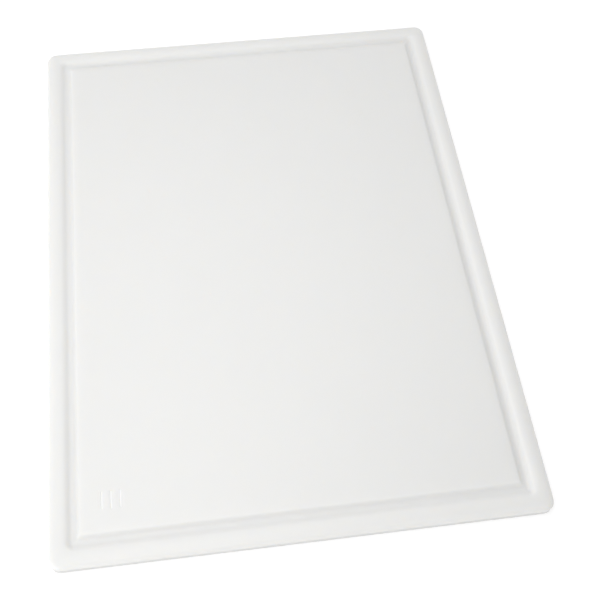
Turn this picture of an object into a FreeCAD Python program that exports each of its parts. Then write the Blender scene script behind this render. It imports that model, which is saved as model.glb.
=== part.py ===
import FreeCAD, Part
import math
import os

# One-piece polyethylene cutting board with a juice groove all round.
# Millimetres, +Z up. The origin is the middle of the underside, X runs across
# the short side and Y along the long side, with the front edge at -Y.

# Slab
WIDTH = 381.0
LENGTH = 508.0
THICKNESS = 12.7
CORNER_RADIUS = 9.0
EDGE_ROUND = 5.0

# Top face from the rim's crown down into the groove and up to the level panel,
# as a chain of tangent arcs. Slopes are in degrees.
CROWN_INSET = 8.0
CROWN_RADIUS = 18.0
RIM_SLOPE = 12.0
RIM_SHOULDER = 9.0
WALL_SLOPE = 36.0
GROOVE_RADIUS = 5.5
PANEL_SHOULDER = 4.0
PANEL_SLOPE = 7.0
PANEL_ROLL = 50.0

# Plain tally of short slots in the front left corner of the cutting surface
SLOT_COUNT = 3
SLOT_PITCH = 7.0
SLOT_WIDTH = 2.4
SLOT_LENGTH = 15.0
SLOT_DEPTH = 0.4
SLOT_MIDDLE_X = -142.5
SLOT_MIDDLE_Y = -206.5

# Height that the cutting bodies rise above the top face
CUTTER_RISE = 3.0

HALF_X = WIDTH / 2
HALF_Y = LENGTH / 2
CUTTER_TOP = THICKNESS + CUTTER_RISE
UP = FreeCAD.Vector(0, 0, 1)


def point(x, y, z):
    return FreeCAD.Vector(x, y, z)


def line(start, end):
    return Part.LineSegment(start, end).toShape()


def is_vertical(edge):
    box = edge.BoundBox
    return box.ZLength > THICKNESS / 2 and box.XLength < EDGE_ROUND


def is_level_rim(edge):
    box = edge.BoundBox
    on_face = min(abs(box.ZMin), abs(box.ZMin - THICKNESS)) < 1e-6
    return on_face and box.ZLength < 1e-6


def rounded_slab():
    """The blank: corners rounded in plan, then both long edges rounded over."""
    corner = point(-HALF_X, -HALF_Y, 0)
    blank = Part.makeBox(WIDTH, LENGTH, THICKNESS, corner)
    upright = [edge for edge in blank.Edges if is_vertical(edge)]
    blank = blank.makeFillet(CORNER_RADIUS, upright)
    rims = [edge for edge in blank.Edges if is_level_rim(edge)]
    return blank.makeFillet(EDGE_ROUND, rims)


def bend(place, radius, start, end):
    """Middle and end of an arc after place, from one slope to another.

    A slope is positive where the surface falls as the inset grows. A negative
    radius bends the surface upward.
    """
    inset, z = place
    found = []
    for slope in ((start + end) / 2, end):
        across = radius * (math.sin(slope) - math.sin(start))
        found.append((inset + across, z + radius * (math.cos(slope) - math.cos(start))))
    return found


def panel_wall(depth, panel_slope):
    """Slope of the wall on the panel's side, which brings it up to the top face."""
    roll = (PANEL_ROLL - PANEL_SHOULDER) * math.cos(panel_slope)
    return math.acos((GROOVE_RADIUS + PANEL_ROLL - roll - depth) / (GROOVE_RADIUS + PANEL_SHOULDER))


def groove_section():
    """(inset, height) points of the section, every second one an arc's middle."""
    rim_slope = math.radians(RIM_SLOPE)
    wall_slope = math.radians(WALL_SLOPE)
    panel_slope = math.radians(PANEL_SLOPE)
    points = [(CROWN_INSET, THICKNESS)]
    points += bend(points[-1], CROWN_RADIUS, 0, rim_slope)
    points += bend(points[-1], RIM_SHOULDER, rim_slope, wall_slope)
    points += bend(points[-1], -GROOVE_RADIUS, wall_slope, 0)
    rise = panel_wall(THICKNESS - points[-1][1], panel_slope)
    points += bend(points[-1], -GROOVE_RADIUS, 0, -rise)
    points += bend(points[-1], PANEL_SHOULDER, -rise, -panel_slope)
    points += bend(points[-1], PANEL_ROLL, -panel_slope, 0)
    return points


SECTION = groove_section()
BOTTOM_POINT = 6
GROOVE_INSET = SECTION[BOTTOM_POINT][0]


def section_face(origin, inward, points):
    """The section's face in the upright plane through origin along inward."""

    def place(inset, z):
        return origin + inward * (inset - GROOVE_INSET) + UP * z

    spots = [place(inset, z) for inset, z in points]
    edges = []
    for first in range(0, len(spots) - 1, 2):
        edges.append(Part.Arc(*spots[first:first + 3]).toShape())
    far_top = place(points[-1][0], CUTTER_TOP)
    near_top = place(points[0][0], CUTTER_TOP)
    edges.append(line(spots[-1], far_top))
    edges.append(line(far_top, near_top))
    edges.append(line(near_top, spots[0]))
    return Part.Face(Part.Wire(edges))


def groove_cutters():
    """Four straight runs round the board, anticlockwise, and their outer corners."""
    reach_x = HALF_X - GROOVE_INSET
    reach_y = HALF_Y - GROOVE_INSET
    signs = ((-1, -1), (1, -1), (1, 1), (-1, 1))
    corners = [point(sign_x * reach_x, sign_y * reach_y, 0) for sign_x, sign_y in signs]
    outer_half = SECTION[:BOTTOM_POINT + 1]
    cutters = []
    for here, there in zip(corners, corners[1:] + corners[:1]):
        run = there - here
        inward = UP.cross(run).normalize()
        cutters.append(section_face(here, inward, SECTION).extrude(run))
        cutters.append(section_face(there, inward, outer_half).revolve(there, UP, 90))
    return cutters


def tally_slot(x):
    """One shallow slot with round ends, its long way along Y."""
    radius = SLOT_WIDTH / 2
    straight = SLOT_LENGTH - SLOT_WIDTH
    low = SLOT_MIDDLE_Y - straight / 2
    floor_z = THICKNESS - SLOT_DEPTH
    height = SLOT_DEPTH + CUTTER_RISE
    middle = Part.makeBox(SLOT_WIDTH, straight, height, point(x - radius, low, floor_z))
    front = Part.makeCylinder(radius, height, point(x, low, floor_z))
    back = Part.makeCylinder(radius, height, point(x, low + straight, floor_z))
    return middle.fuse([front, back]).removeSplitter()


def tally_cutters():
    first = SLOT_MIDDLE_X - SLOT_PITCH * (SLOT_COUNT - 1) / 2
    return [tally_slot(first + SLOT_PITCH * number) for number in range(SLOT_COUNT)]


def board_slab():
    groove = groove_cutters()
    board = rounded_slab().cut(groove[0].fuse(groove[1:]))
    for slot in tally_cutters():
        board = board.cut(slot)
    return board.removeSplitter().Solids[0]


def export(name, shape):
    print(name, "valid", shape.isValid(), "volume", round(shape.Volume), shape.BoundBox)
    shape.exportStep(os.path.join("parts", name + ".step"))


os.makedirs("parts", exist_ok=True)
export("board_slab", board_slab())
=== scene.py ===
import math

import bpy
from mathutils import Matrix, Vector


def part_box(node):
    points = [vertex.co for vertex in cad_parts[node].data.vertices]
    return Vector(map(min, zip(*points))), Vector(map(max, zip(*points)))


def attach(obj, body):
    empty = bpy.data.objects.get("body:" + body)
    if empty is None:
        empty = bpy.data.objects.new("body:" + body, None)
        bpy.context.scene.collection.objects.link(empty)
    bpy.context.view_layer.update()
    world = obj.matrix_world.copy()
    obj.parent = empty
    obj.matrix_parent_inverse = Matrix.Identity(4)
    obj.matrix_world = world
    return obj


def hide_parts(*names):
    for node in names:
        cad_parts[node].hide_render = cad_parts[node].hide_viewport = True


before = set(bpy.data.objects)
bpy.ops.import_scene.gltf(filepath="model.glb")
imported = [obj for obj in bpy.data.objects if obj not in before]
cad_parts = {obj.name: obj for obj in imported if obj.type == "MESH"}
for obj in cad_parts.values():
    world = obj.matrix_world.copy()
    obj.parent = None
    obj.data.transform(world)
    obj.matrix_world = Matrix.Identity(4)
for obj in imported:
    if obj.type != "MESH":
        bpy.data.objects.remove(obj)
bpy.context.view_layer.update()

# A white polyethylene cutting board with a juice groove all round, lying on a
# pale studio floor. Metres, +Z up, origin at the middle of the underside.

MM = 0.001
LOW, HIGH = (Vector(corner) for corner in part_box("board_slab"))
HALF_X = (HIGH.x - LOW.x) / 2
HALF_Y = (HIGH.y - LOW.y) / 2
TOP = HIGH.z
BASE = LOW.z

# Edges and corners
CORNER_RADIUS = 9.0 * MM
UNDER_ROUND = 3.0 * MM
EDGE_ROUND = 4.5 * MM
EDGE_STEPS = 10

# Rim, gently crowned between the edge and the groove
CROWN_INSET = 8.0 * MM
CROWN_RADIUS = 18.0 * MM
CROWN_STEPS = 5
RIM_FALL = math.radians(12)
RIM_SHOULDER = 9.0 * MM

# Juice groove
GROOVE_RADIUS = 5.5 * MM
GROOVE_WALL = math.radians(36)
GROOVE_STEPS = 10
PATH_RADIUS = 0.8 * MM

# Panel, rolled gently down towards the groove
PANEL_SHOULDER = 4.0 * MM
SHOULDER_STEPS = 6
SHOULDER_CORNER = 2.0 * MM
PANEL_FALL = math.radians(7)
PANEL_ROLL = 50.0 * MM
ROLL_STEPS = 5
PANEL_CORNER = 8.0 * MM

# Grid lines of the level middle, closer together to the left of the slots and in front
CORE_INSET = 35.0 * MM
CORE_CELL = 12.0 * MM
NEAR_CELL = 3.0 * MM
UNDER_INSET = CORE_INSET - 4.0 * MM
CORNER_STEPS = 10
LEVEL_STEPS = 3

# Tally of short slots in the front left corner of the panel
SLOT_COUNT = 3
SLOT_PITCH = 7.0 * MM
SLOT_WIDTH = 2.4 * MM
SLOT_LENGTH = 15.0 * MM
SLOT_DEPTH = 0.4 * MM
SLOT_KEEL = 0.9 * MM
SLOT_X = -142.5 * MM
SLOT_Y = -206.5 * MM
SLOT_CELLS = 10
SLOT_STRAIGHT_CELLS = 4
SLOT_RINGS = 8

# Surface detail of the plastic: widths of its lumps and marks, their heights, and how
# much finer detail each noise has
PEBBLE_GRAIN = 0.7 * MM
PEBBLE_HEIGHT = 0.02 * MM
PEBBLE_DETAIL = 2.0
SWELL_GRAIN = 9.0 * MM
SWELL_HEIGHT = 0.06 * MM
SWELL_DETAIL = 1.0
CLOUD_GRAIN = 45.0 * MM
CLOUD_DETAIL = 3.0
CUTTER_PITCH = 0.6 * MM
CUTTER_HEIGHT = 0.004 * MM
EDGE_PITCH = 0.9 * MM
EDGE_HEIGHT = 0.004 * MM

# Where the detail lies, as (none of it, all of it): insets from the outer edge, and heights
GROOVE_OUTER_INSETS = (12 * MM, 15 * MM)
GROOVE_INNER_INSETS = (26 * MM, 23 * MM)
SLOT_INSETS = (33 * MM, 34 * MM)
SLOT_HEIGHTS = (TOP - 0.05 * MM, TOP - 0.3 * MM)
WALL_LOW_HEIGHTS = (0.2 * MM, 1 * MM)
WALL_HIGH_HEIGHTS = (10 * MM, 5.5 * MM)

# Colour of the plastic in two close tones, with a painted highlight (whiter) in the slots
# and painted shade (darker) on the upright edge, and how far light travels inside it
FIRST_TINT = (0.783, 0.783, 0.773, 1)
SECOND_TINT = (0.797, 0.797, 0.788, 1)
# Painted highlight: a whiter colour in the slots that stands in for the light their slopes catch
SLOT_PAINTED_HIGHLIGHT = (0.89, 0.89, 0.885, 1)
# Painted shade: a darker colour on the upright edge that stands in for its shading
WALL_PAINTED_SHADE = (0.6, 0.6, 0.59, 1)
SCATTER_LENGTH = 4.5 * MM
SCATTER_SHARES = (1.0, 0.95, 0.85)
# Shorter scattering on the upright edge, so that its painted shade shows
WALL_SCATTER = 1.5 * MM
PLASTIC_IOR = 1.54

# Roughness of the plastic, and what each kind of detail adds to it
ROUGHNESS = 0.36
PEBBLE_ROUGHNESS = 0.08
CLOUD_ROUGHNESS = 0.06
GROOVE_ROUGHNESS = -0.05
WALL_ROUGHNESS = -0.06


# ---------------------------------------------------------------- section
# A ring is (inset from the outer edge, height, corner radius in plan).

def spread(start, end, steps):
    """Rings after start up to and including end, evenly spaced."""
    shares = [step / steps for step in range(1, steps + 1)]
    return [tuple(a + (b - a) * share for a, b in zip(start, end)) for share in shares]


def walk(place, radius, start, end, steps, hollow=False):
    """(inset, z) along an arc, from one downward slope to another, after place.

    A slope is positive where the surface falls as the inset grows.
    """
    bend = -radius if hollow else radius
    inset, z = place
    points = []
    for step in range(1, steps + 1):
        slope = start + (end - start) * step / steps
        across = bend * (math.sin(slope) - math.sin(start))
        points.append((inset + across, z + bend * (math.cos(slope) - math.cos(start))))
    return points


def top_section():
    """(inset, z) from the outer edge's upright side to the panel's lip."""
    sine = (CROWN_INSET - EDGE_ROUND) / (CROWN_RADIUS - EDGE_ROUND)
    rise = -math.asin(sine)
    crown = (CROWN_INSET, TOP)
    outward = walk(crown, CROWN_RADIUS, 0, rise, CROWN_STEPS)
    outward += walk(outward[-1], EDGE_ROUND, rise, -math.pi / 2, EDGE_STEPS)
    inward = walk(crown, CROWN_RADIUS, 0, RIM_FALL, CROWN_STEPS)
    inward += walk(inward[-1], RIM_SHOULDER, RIM_FALL, GROOVE_WALL, SHOULDER_STEPS)
    inward += walk(inward[-1], GROOVE_RADIUS, GROOVE_WALL, 0, GROOVE_STEPS, hollow=True)
    bottom = inward[-1]
    wall = panel_wall(TOP - bottom[1])
    inward += walk(bottom, GROOVE_RADIUS, 0, -wall, GROOVE_STEPS, hollow=True)
    inward += walk(inward[-1], PANEL_SHOULDER, -wall, -PANEL_FALL, SHOULDER_STEPS)
    shoulder = inward[-1]
    inward += walk(shoulder, PANEL_ROLL, -PANEL_FALL, 0, ROLL_STEPS)
    return outward[::-1] + [crown] + inward, bottom[0], shoulder[0]


def panel_wall(depth):
    """Slope of the groove's wall on the panel's side, which brings it up to TOP."""
    roll = (PANEL_ROLL - PANEL_SHOULDER) * math.cos(PANEL_FALL)
    return math.acos((GROOVE_RADIUS + PANEL_ROLL - roll - depth) / (GROOVE_RADIUS + PANEL_SHOULDER))


def plan_radius(inset, groove_inset, shoulder_inset, lip_inset):
    """Corner radius in plan of the line at an inset from the outer edge."""
    fall_inset = CROWN_INSET + CROWN_RADIUS * math.sin(RIM_FALL)
    knots = (
        (0, CORNER_RADIUS),
        (EDGE_ROUND, CORNER_RADIUS - EDGE_ROUND),
        (fall_inset, PATH_RADIUS + groove_inset - fall_inset),
        (groove_inset, PATH_RADIUS),
        (shoulder_inset, SHOULDER_CORNER),
        (lip_inset, PANEL_CORNER),
    )
    for (low, first), (high, last) in zip(knots, knots[1:]):
        if inset <= high:
            return first + (last - first) * max(inset - low, 0) / (high - low)
    return PANEL_CORNER


def under_rings():
    """From the underside's middle out and up to the upright side."""
    inner = (UNDER_INSET, BASE, PANEL_CORNER)
    edge = (UNDER_ROUND, BASE, CORNER_RADIUS - UNDER_ROUND)
    rings = [inner] + spread(inner, edge, LEVEL_STEPS)
    for step in range(1, EDGE_STEPS + 1):
        angle = math.pi / 2 * step / EDGE_STEPS
        inset = UNDER_ROUND * (1 - math.sin(angle))
        rings.append((inset, BASE + UNDER_ROUND * (1 - math.cos(angle)), CORNER_RADIUS - inset))
    return rings


def all_rings():
    section, groove_inset, shoulder_inset = top_section()
    insets = (groove_inset, shoulder_inset, section[-1][0])
    return under_rings() + [(inset, z, plan_radius(inset, *insets)) for inset, z in section]


# ------------------------------------------------------------------- mesh

class Skin:
    """Points and faces of one closed surface."""

    def __init__(self):
        self.points = []
        self.faces = []

    def add(self, x, y, z):
        self.points.append((x, y, z))
        return len(self.points) - 1

    def band(self, before, after):
        """Quads between two loops of equal length, both anticlockwise."""
        count = len(before)
        for here in range(count):
            there = (here + 1) % count
            self.faces.append((before[here], before[there], after[there], after[here]))


def slot_lines_x():
    cells = SLOT_CELLS * SLOT_COUNT
    start = SLOT_X - SLOT_PITCH * SLOT_COUNT / 2
    return [start + SLOT_PITCH * SLOT_COUNT * cell / cells for cell in range(cells + 1)]


def slot_lines_y():
    straight = SLOT_LENGTH - SLOT_WIDTH
    end_cell = SLOT_PITCH / SLOT_CELLS
    steps = [end_cell] * (SLOT_CELLS // 2)
    steps = steps + [straight / SLOT_STRAIGHT_CELLS] * SLOT_STRAIGHT_CELLS + steps
    lines = [SLOT_Y - straight / 2 - SLOT_PITCH / 2]
    for step in steps:
        lines.append(lines[-1] + step)
    return lines


def core_lines(half, slot_lines):
    """Grid lines from -half to half, which hold the slots' own lines."""
    near = math.ceil((slot_lines[0] + half) / NEAR_CELL)
    far = math.ceil((half - slot_lines[-1]) / CORE_CELL)
    before = [-half + (slot_lines[0] + half) * cell / near for cell in range(near)]
    after = [slot_lines[-1] + (half - slot_lines[-1]) * cell / far for cell in range(1, far + 1)]
    return before + slot_lines + after


def border(count_x, count_y):
    """Places round the grid's edge, anticlockwise from the front left corner."""
    places = [(i, 0) for i in range(count_x)]
    places += [(count_x, j) for j in range(count_y)]
    places += [(i, count_y) for i in range(count_x, 0, -1)]
    places += [(0, j) for j in range(count_y, 0, -1)]
    return places


def border_marks(xs, ys):
    """(side, share of its straight, angle) of each border vertex on any ring."""
    half = CORNER_STEPS // 2
    marks = []
    for side, lines in enumerate((xs, ys, xs[::-1], ys[::-1])):
        last = len(lines) - 1
        first_line = lines[half]
        straight = lines[last - half] - first_line
        for step in range(last):
            share = min(max((lines[step] - first_line) / straight, 0), 1)
            turn = max(step - last + half, 0) - max(half - step, 0)
            marks.append((side, share, math.radians(270 + 90 * side + 45 * turn / half)))
    return marks


CORNER_SIGNS = ((-1, -1), (1, -1), (1, 1), (-1, 1))


def add_ring(skin, marks, ring):
    inset, z, radius = ring
    reach = Vector((HALF_X - inset - radius, HALF_Y - inset - radius))
    centres = [Vector((sign_x * reach.x, sign_y * reach.y)) for sign_x, sign_y in CORNER_SIGNS]
    loop = []
    for side, share, angle in marks:
        centre = centres[side].lerp(centres[(side + 1) % 4], share)
        x = centre.x + radius * math.cos(angle)
        y = centre.y + radius * math.sin(angle)
        loop.append(skin.add(x, y, z))
    return loop


def add_grid(skin, xs, ys, z):
    return {(i, j): skin.add(x, y, z) for i, x in enumerate(xs) for j, y in enumerate(ys)}


def fill_grid(skin, grid, xs, ys, upward, holes):
    """Quads between the grid's lines, apart from the cells in holes."""
    for i in range(len(xs) - 1):
        for j in range(len(ys) - 1):
            if (i, j) in holes:
                continue
            face = (grid[i, j], grid[i + 1, j], grid[i + 1, j + 1], grid[i, j + 1])
            skin.faces.append(face if upward else face[::-1])


def sink_slot(skin, loop, middle_x):
    """A trough with round ends inside a loop of the panel's vertices.

    Its deepest line, the keel, lies to the left, so its right side is a long ramp.
    """
    spine_half = (SLOT_LENGTH - SLOT_WIDTH) / 2
    rays = []
    for index in loop:
        x, y, _ = skin.points[index]
        root = Vector((middle_x, min(max(y, SLOT_Y - spine_half), SLOT_Y + spine_half)))
        rays.append((root, (Vector((x, y)) - root).normalized()))
    before = loop
    for ring in range(SLOT_RINGS):
        share = 1 - ring / SLOT_RINGS
        z = TOP - SLOT_DEPTH * (1 + math.cos(math.pi * share)) / 2
        after = []
        for root, ray in rays:
            place = root + ray * (SLOT_WIDTH / 2 * share)
            after.append(skin.add(place.x - SLOT_KEEL * (1 - share), place.y, z))
        skin.band(before, after)
        before = after
    spine = {}
    for root, _ in rays:
        if root.y not in spine:
            spine[root.y] = skin.add(root.x - SLOT_KEEL, root.y, TOP - SLOT_DEPTH)
    for here in range(len(before)):
        there = (here + 1) % len(before)
        ends = [spine[rays[there][0].y], spine[rays[here][0].y]]
        face = [before[here], before[there]] + (ends if ends[0] != ends[1] else ends[:1])
        skin.faces.append(tuple(face))


def slot_blocks(xs, ys):
    """(first i, last i, first j, last j, middle x) of each slot's block of cells."""
    first = xs.index(slot_lines_x()[0])
    low = ys.index(slot_lines_y()[0])
    high = low + len(slot_lines_y()) - 1
    blocks = []
    for number in range(SLOT_COUNT):
        start = first + number * SLOT_CELLS
        middle_x = SLOT_X + SLOT_PITCH * (number - (SLOT_COUNT - 1) / 2)
        blocks.append((start, start + SLOT_CELLS, low, high, middle_x))
    return blocks


def board_skin():
    xs = core_lines(HALF_X - CORE_INSET, slot_lines_x())
    ys = core_lines(HALF_Y - CORE_INSET, slot_lines_y())
    marks = border_marks(xs, ys)
    places = border(len(xs) - 1, len(ys) - 1)
    skin = Skin()
    under = add_grid(skin, xs, ys, BASE)
    fill_grid(skin, under, xs, ys, False, set())
    loop = [under[place] for place in places]
    for ring in all_rings():
        after = add_ring(skin, marks, ring)
        skin.band(loop, after)
        loop = after
    panel = add_grid(skin, xs, ys, TOP)
    skin.band(loop, [panel[place] for place in places])
    holes = set()
    for start, end, low, high, middle_x in slot_blocks(xs, ys):
        holes |= {(i, j) for i in range(start, end) for j in range(low, high)}
        edge = [(start + i, low + j) for i, j in border(end - start, high - low)]
        sink_slot(skin, [panel[place] for place in edge], middle_x)
    fill_grid(skin, panel, xs, ys, True, holes)
    return skin


def without_loose(skin):
    """Points that some face uses, with the faces renumbered."""
    used = sorted({index for face in skin.faces for index in face})
    renumbered = {index: place for place, index in enumerate(used)}
    points = [skin.points[index] for index in used]
    return points, [tuple(renumbered[index] for index in face) for face in skin.faces]


def make_board():
    points, faces = without_loose(board_skin())
    mesh = bpy.data.meshes.new("board")
    mesh.from_pydata(points, [], faces)
    mesh.validate()
    mesh.shade_smooth()
    board = bpy.data.objects.new("board", mesh)
    bpy.context.scene.collection.objects.link(board)
    return board


# -------------------------------------------------------------- materials

# The colour sockets of a mix node, by number since its socket names repeat.
MIX_FIRST = 6
MIX_SECOND = 7
MIX_COLOUR = 2


class Graph:
    """The nodes of one material."""

    def __init__(self, name):
        self.material = bpy.data.materials.new(name)
        self.material.use_nodes = True
        self.tree = self.material.node_tree
        self.shader = self.tree.nodes["Principled BSDF"]

    def put(self, socket, value):
        """Set an input, or link it to another node's output."""
        if isinstance(value, bpy.types.NodeSocket):
            self.tree.links.new(value, socket)
        else:
            socket.default_value = value

    def node(self, kind, **inputs):
        node = self.tree.nodes.new(kind)
        for name, value in inputs.items():
            self.put(node.inputs[name], value)
        return node

    def maths(self, operation, *values):
        node = self.tree.nodes.new("ShaderNodeMath")
        node.operation = operation
        for socket, value in zip(node.inputs, values):
            self.put(socket, value)
        return node.outputs["Value"]

    def product(self, first, *others):
        for other in others:
            first = self.maths("MULTIPLY", first, other)
        return first

    def total(self, *terms):
        """Sum of factor times value, over pairs of them."""
        result = 0.0
        for factor, value in terms:
            result = self.maths("MULTIPLY_ADD", value, factor, result)
        return result

    def noise(self, place, grain, detail):
        """Noise from 0 to 1 whose lumps are about one grain wide, in metres."""
        node = self.node("ShaderNodeTexNoise", Vector=place, Scale=1 / grain, Detail=detail)
        return node.outputs["Fac"]

    def mixed(self, factor, first, second):
        """One colour at 0, the other at 1."""
        node = self.node("ShaderNodeMix", Factor=factor)
        node.data_type = "RGBA"
        self.put(node.inputs[MIX_FIRST], first)
        self.put(node.inputs[MIX_SECOND], second)
        return node.outputs[MIX_COLOUR]

    def ramp(self, value, start, end):
        """0 up to start, then smoothly to 1 at end."""
        inputs = {"Value": value, "From Min": start, "From Max": end}
        node = self.node("ShaderNodeMapRange", **inputs)
        node.interpolation_type = "SMOOTHSTEP"
        return node.outputs["Result"]


def polyethylene():
    """White, slightly warm, translucent plastic with a fine matt pebble.

    The groove has faint cutter marks across it. The upright edge has fine lines along it
    and painted shade, a darker colour, and the slots have a painted highlight, a whiter colour.
    """
    graph = Graph("white_polyethylene")
    place = graph.node("ShaderNodeTexCoord").outputs["Object"]
    split = graph.node("ShaderNodeSeparateXYZ", Vector=place).outputs
    from_side = graph.maths("SUBTRACT", HALF_X, graph.maths("ABSOLUTE", split["X"]))
    from_end = graph.maths("SUBTRACT", HALF_Y, graph.maths("ABSOLUTE", split["Y"]))
    inset = graph.maths("MINIMUM", from_side, from_end)
    above = graph.maths("GREATER_THAN", split["Z"], TOP / 2)

    in_groove = graph.product(
        graph.ramp(inset, *GROOVE_OUTER_INSETS),
        graph.ramp(inset, *GROOVE_INNER_INSETS),
        above,
    )
    on_wall = graph.product(
        graph.ramp(split["Z"], *WALL_LOW_HEIGHTS),
        graph.ramp(split["Z"], *WALL_HIGH_HEIGHTS),
    )
    in_slot = graph.product(
        graph.ramp(split["Z"], *SLOT_HEIGHTS),
        graph.ramp(inset, *SLOT_INSETS),
        above,
    )
    beside_end = graph.maths("LESS_THAN", from_end, from_side)
    along = graph.product(split["X"], beside_end)
    beside_side = graph.maths("SUBTRACT", 1.0, beside_end)
    along = graph.maths("MULTIPLY_ADD", split["Y"], beside_side, along)

    pebble = graph.noise(place, PEBBLE_GRAIN, PEBBLE_DETAIL)
    swell = graph.noise(place, SWELL_GRAIN, SWELL_DETAIL)
    cloud = graph.noise(place, CLOUD_GRAIN, CLOUD_DETAIL)
    cutter_marks = graph.maths("SINE", graph.product(along, math.tau / CUTTER_PITCH))
    wavy = graph.maths("MULTIPLY_ADD", split["Z"], math.tau / EDGE_PITCH, swell)
    edge_lines = graph.maths("SINE", wavy)

    height = graph.total(
        (PEBBLE_HEIGHT, pebble),
        (SWELL_HEIGHT, swell),
        (CUTTER_HEIGHT, graph.product(cutter_marks, in_groove)),
        (EDGE_HEIGHT, graph.product(edge_lines, on_wall)),
    )
    bump = graph.node("ShaderNodeBump", Strength=1.0, Distance=1.0, Height=height)
    roughness = graph.total(
        (PEBBLE_ROUGHNESS, pebble),
        (CLOUD_ROUGHNESS, cloud),
        (GROOVE_ROUGHNESS, in_groove),
        (WALL_ROUGHNESS, on_wall),
        (1.0, ROUGHNESS),
    )
    tint = graph.mixed(cloud, FIRST_TINT, SECOND_TINT)
    # Painted highlight: the slots get a whiter colour
    tint = graph.mixed(in_slot, tint, SLOT_PAINTED_HIGHLIGHT)
    # Painted shade: the upright edge gets a darker colour and scatters light a shorter way
    tint = graph.mixed(on_wall, tint, WALL_PAINTED_SHADE)
    scatter = graph.maths("MULTIPLY_ADD", on_wall, WALL_SCATTER - SCATTER_LENGTH, SCATTER_LENGTH)

    inputs = graph.shader.inputs
    graph.put(inputs["Base Color"], tint)
    graph.put(inputs["Roughness"], roughness)
    graph.put(inputs["Normal"], bump.outputs["Normal"])
    graph.put(inputs["Subsurface Scale"], scatter)
    inputs["IOR"].default_value = PLASTIC_IOR
    inputs["Subsurface Weight"].default_value = 1.0
    inputs["Subsurface Radius"].default_value = SCATTER_SHARES
    return graph.material


# ------------------------------------------------------------------ studio

WHITE = (1, 1, 1, 1)
SURROUNDINGS = 0.6
FLOOR_HALF = 6.0
FLOOR_GREY = (0.5, 0.5, 0.5, 1)
FLOOR_ROUGHNESS = 0.9
FLOOR_SHEEN = 0.1
FLOOR_GLOW = 0.6

# Name, bearing from +X in degrees, elevation in degrees, distance, side and watts
SOFTBOXES = (
    ("low_front_left_softbox", 225, 15, 1.5, 0.9, 5.7),
    ("back_left_softbox", 135, 40, 1.5, 0.9, 2.0),
    ("high_back_softbox", 90, 65, 1.5, 0.9, 3.1),
    ("high_front_left_softbox", 225, 70, 0.75, 0.5, 1.65),
)

CAMERA_PLACE = Vector((-0.0541, -0.4126, 0.6696))
CAMERA_AIM = Vector((0.0049, -0.0441, 0))
CAMERA_ROLL = math.radians(2.18)
CAMERA_SENSOR = 36
CAMERA_LENS = 53.245
CAMERA_SHIFT = 0.035


def floor_material():
    """A pale floor that glows a little, so that shadows on it stay faint."""
    graph = Graph("studio_floor")
    inputs = graph.shader.inputs
    inputs["Base Color"].default_value = FLOOR_GREY
    inputs["Roughness"].default_value = FLOOR_ROUGHNESS
    inputs["Specular IOR Level"].default_value = FLOOR_SHEEN
    inputs["Emission Color"].default_value = WHITE
    inputs["Emission Strength"].default_value = FLOOR_GLOW
    return graph.material


def make_floor():
    mesh = bpy.data.meshes.new("floor")
    corners = [(sign_x * FLOOR_HALF, sign_y * FLOOR_HALF, BASE) for sign_x, sign_y in CORNER_SIGNS]
    mesh.from_pydata(corners, [], [(0, 1, 2, 3)])
    mesh.materials.append(floor_material())
    floor = bpy.data.objects.new("floor", mesh)
    bpy.context.scene.collection.objects.link(floor)


def aimed(place, aim, roll=0.0):
    """World matrix of a camera or lamp at place, looking at aim."""
    forward = (aim - place).normalized()
    level = forward.cross(Vector((0, 0, 1))).normalized()
    upright = level.cross(forward)
    right = level * math.cos(roll) + upright * math.sin(roll)
    up = upright * math.cos(roll) - level * math.sin(roll)
    rotation = Matrix((right, up, -forward)).transposed().to_4x4()
    return Matrix.Translation(place) @ rotation


def softbox(name, bearing, elevation, distance, side, watts):
    """A square softbox aimed at the board, placed by angles seen from the board."""
    data = bpy.data.lights.new(name, "AREA")
    data.shape = "SQUARE"
    data.size = side
    data.energy = watts
    level = math.cos(math.radians(elevation))
    turn = math.radians(bearing)
    rise = math.sin(math.radians(elevation))
    way = Vector((level * math.cos(turn), level * math.sin(turn), rise))
    lamp = bpy.data.objects.new(name, data)
    lamp.matrix_world = aimed(way * distance, Vector((0, 0, 0)))
    bpy.context.scene.collection.objects.link(lamp)


def surroundings(strength):
    world = bpy.data.worlds.new("studio")
    world.use_nodes = True
    background = world.node_tree.nodes["Background"]
    background.inputs["Color"].default_value = WHITE
    background.inputs["Strength"].default_value = strength
    bpy.context.scene.world = world


def make_camera():
    data = bpy.data.cameras.new("camera")
    data.sensor_width = CAMERA_SENSOR
    data.lens = CAMERA_LENS
    data.shift_x = CAMERA_SHIFT
    camera = bpy.data.objects.new("camera", data)
    camera.matrix_world = aimed(CAMERA_PLACE, CAMERA_AIM, CAMERA_ROLL)
    bpy.context.scene.collection.objects.link(camera)
    bpy.context.scene.camera = camera


make_floor()
surroundings(SURROUNDINGS)
for setting in SOFTBOXES:
    softbox(*setting)
make_camera()
bpy.context.scene.view_settings.view_transform = "Standard"

board = make_board()
board.data.materials.append(polyethylene())
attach(board, "root")
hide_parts("board_slab")
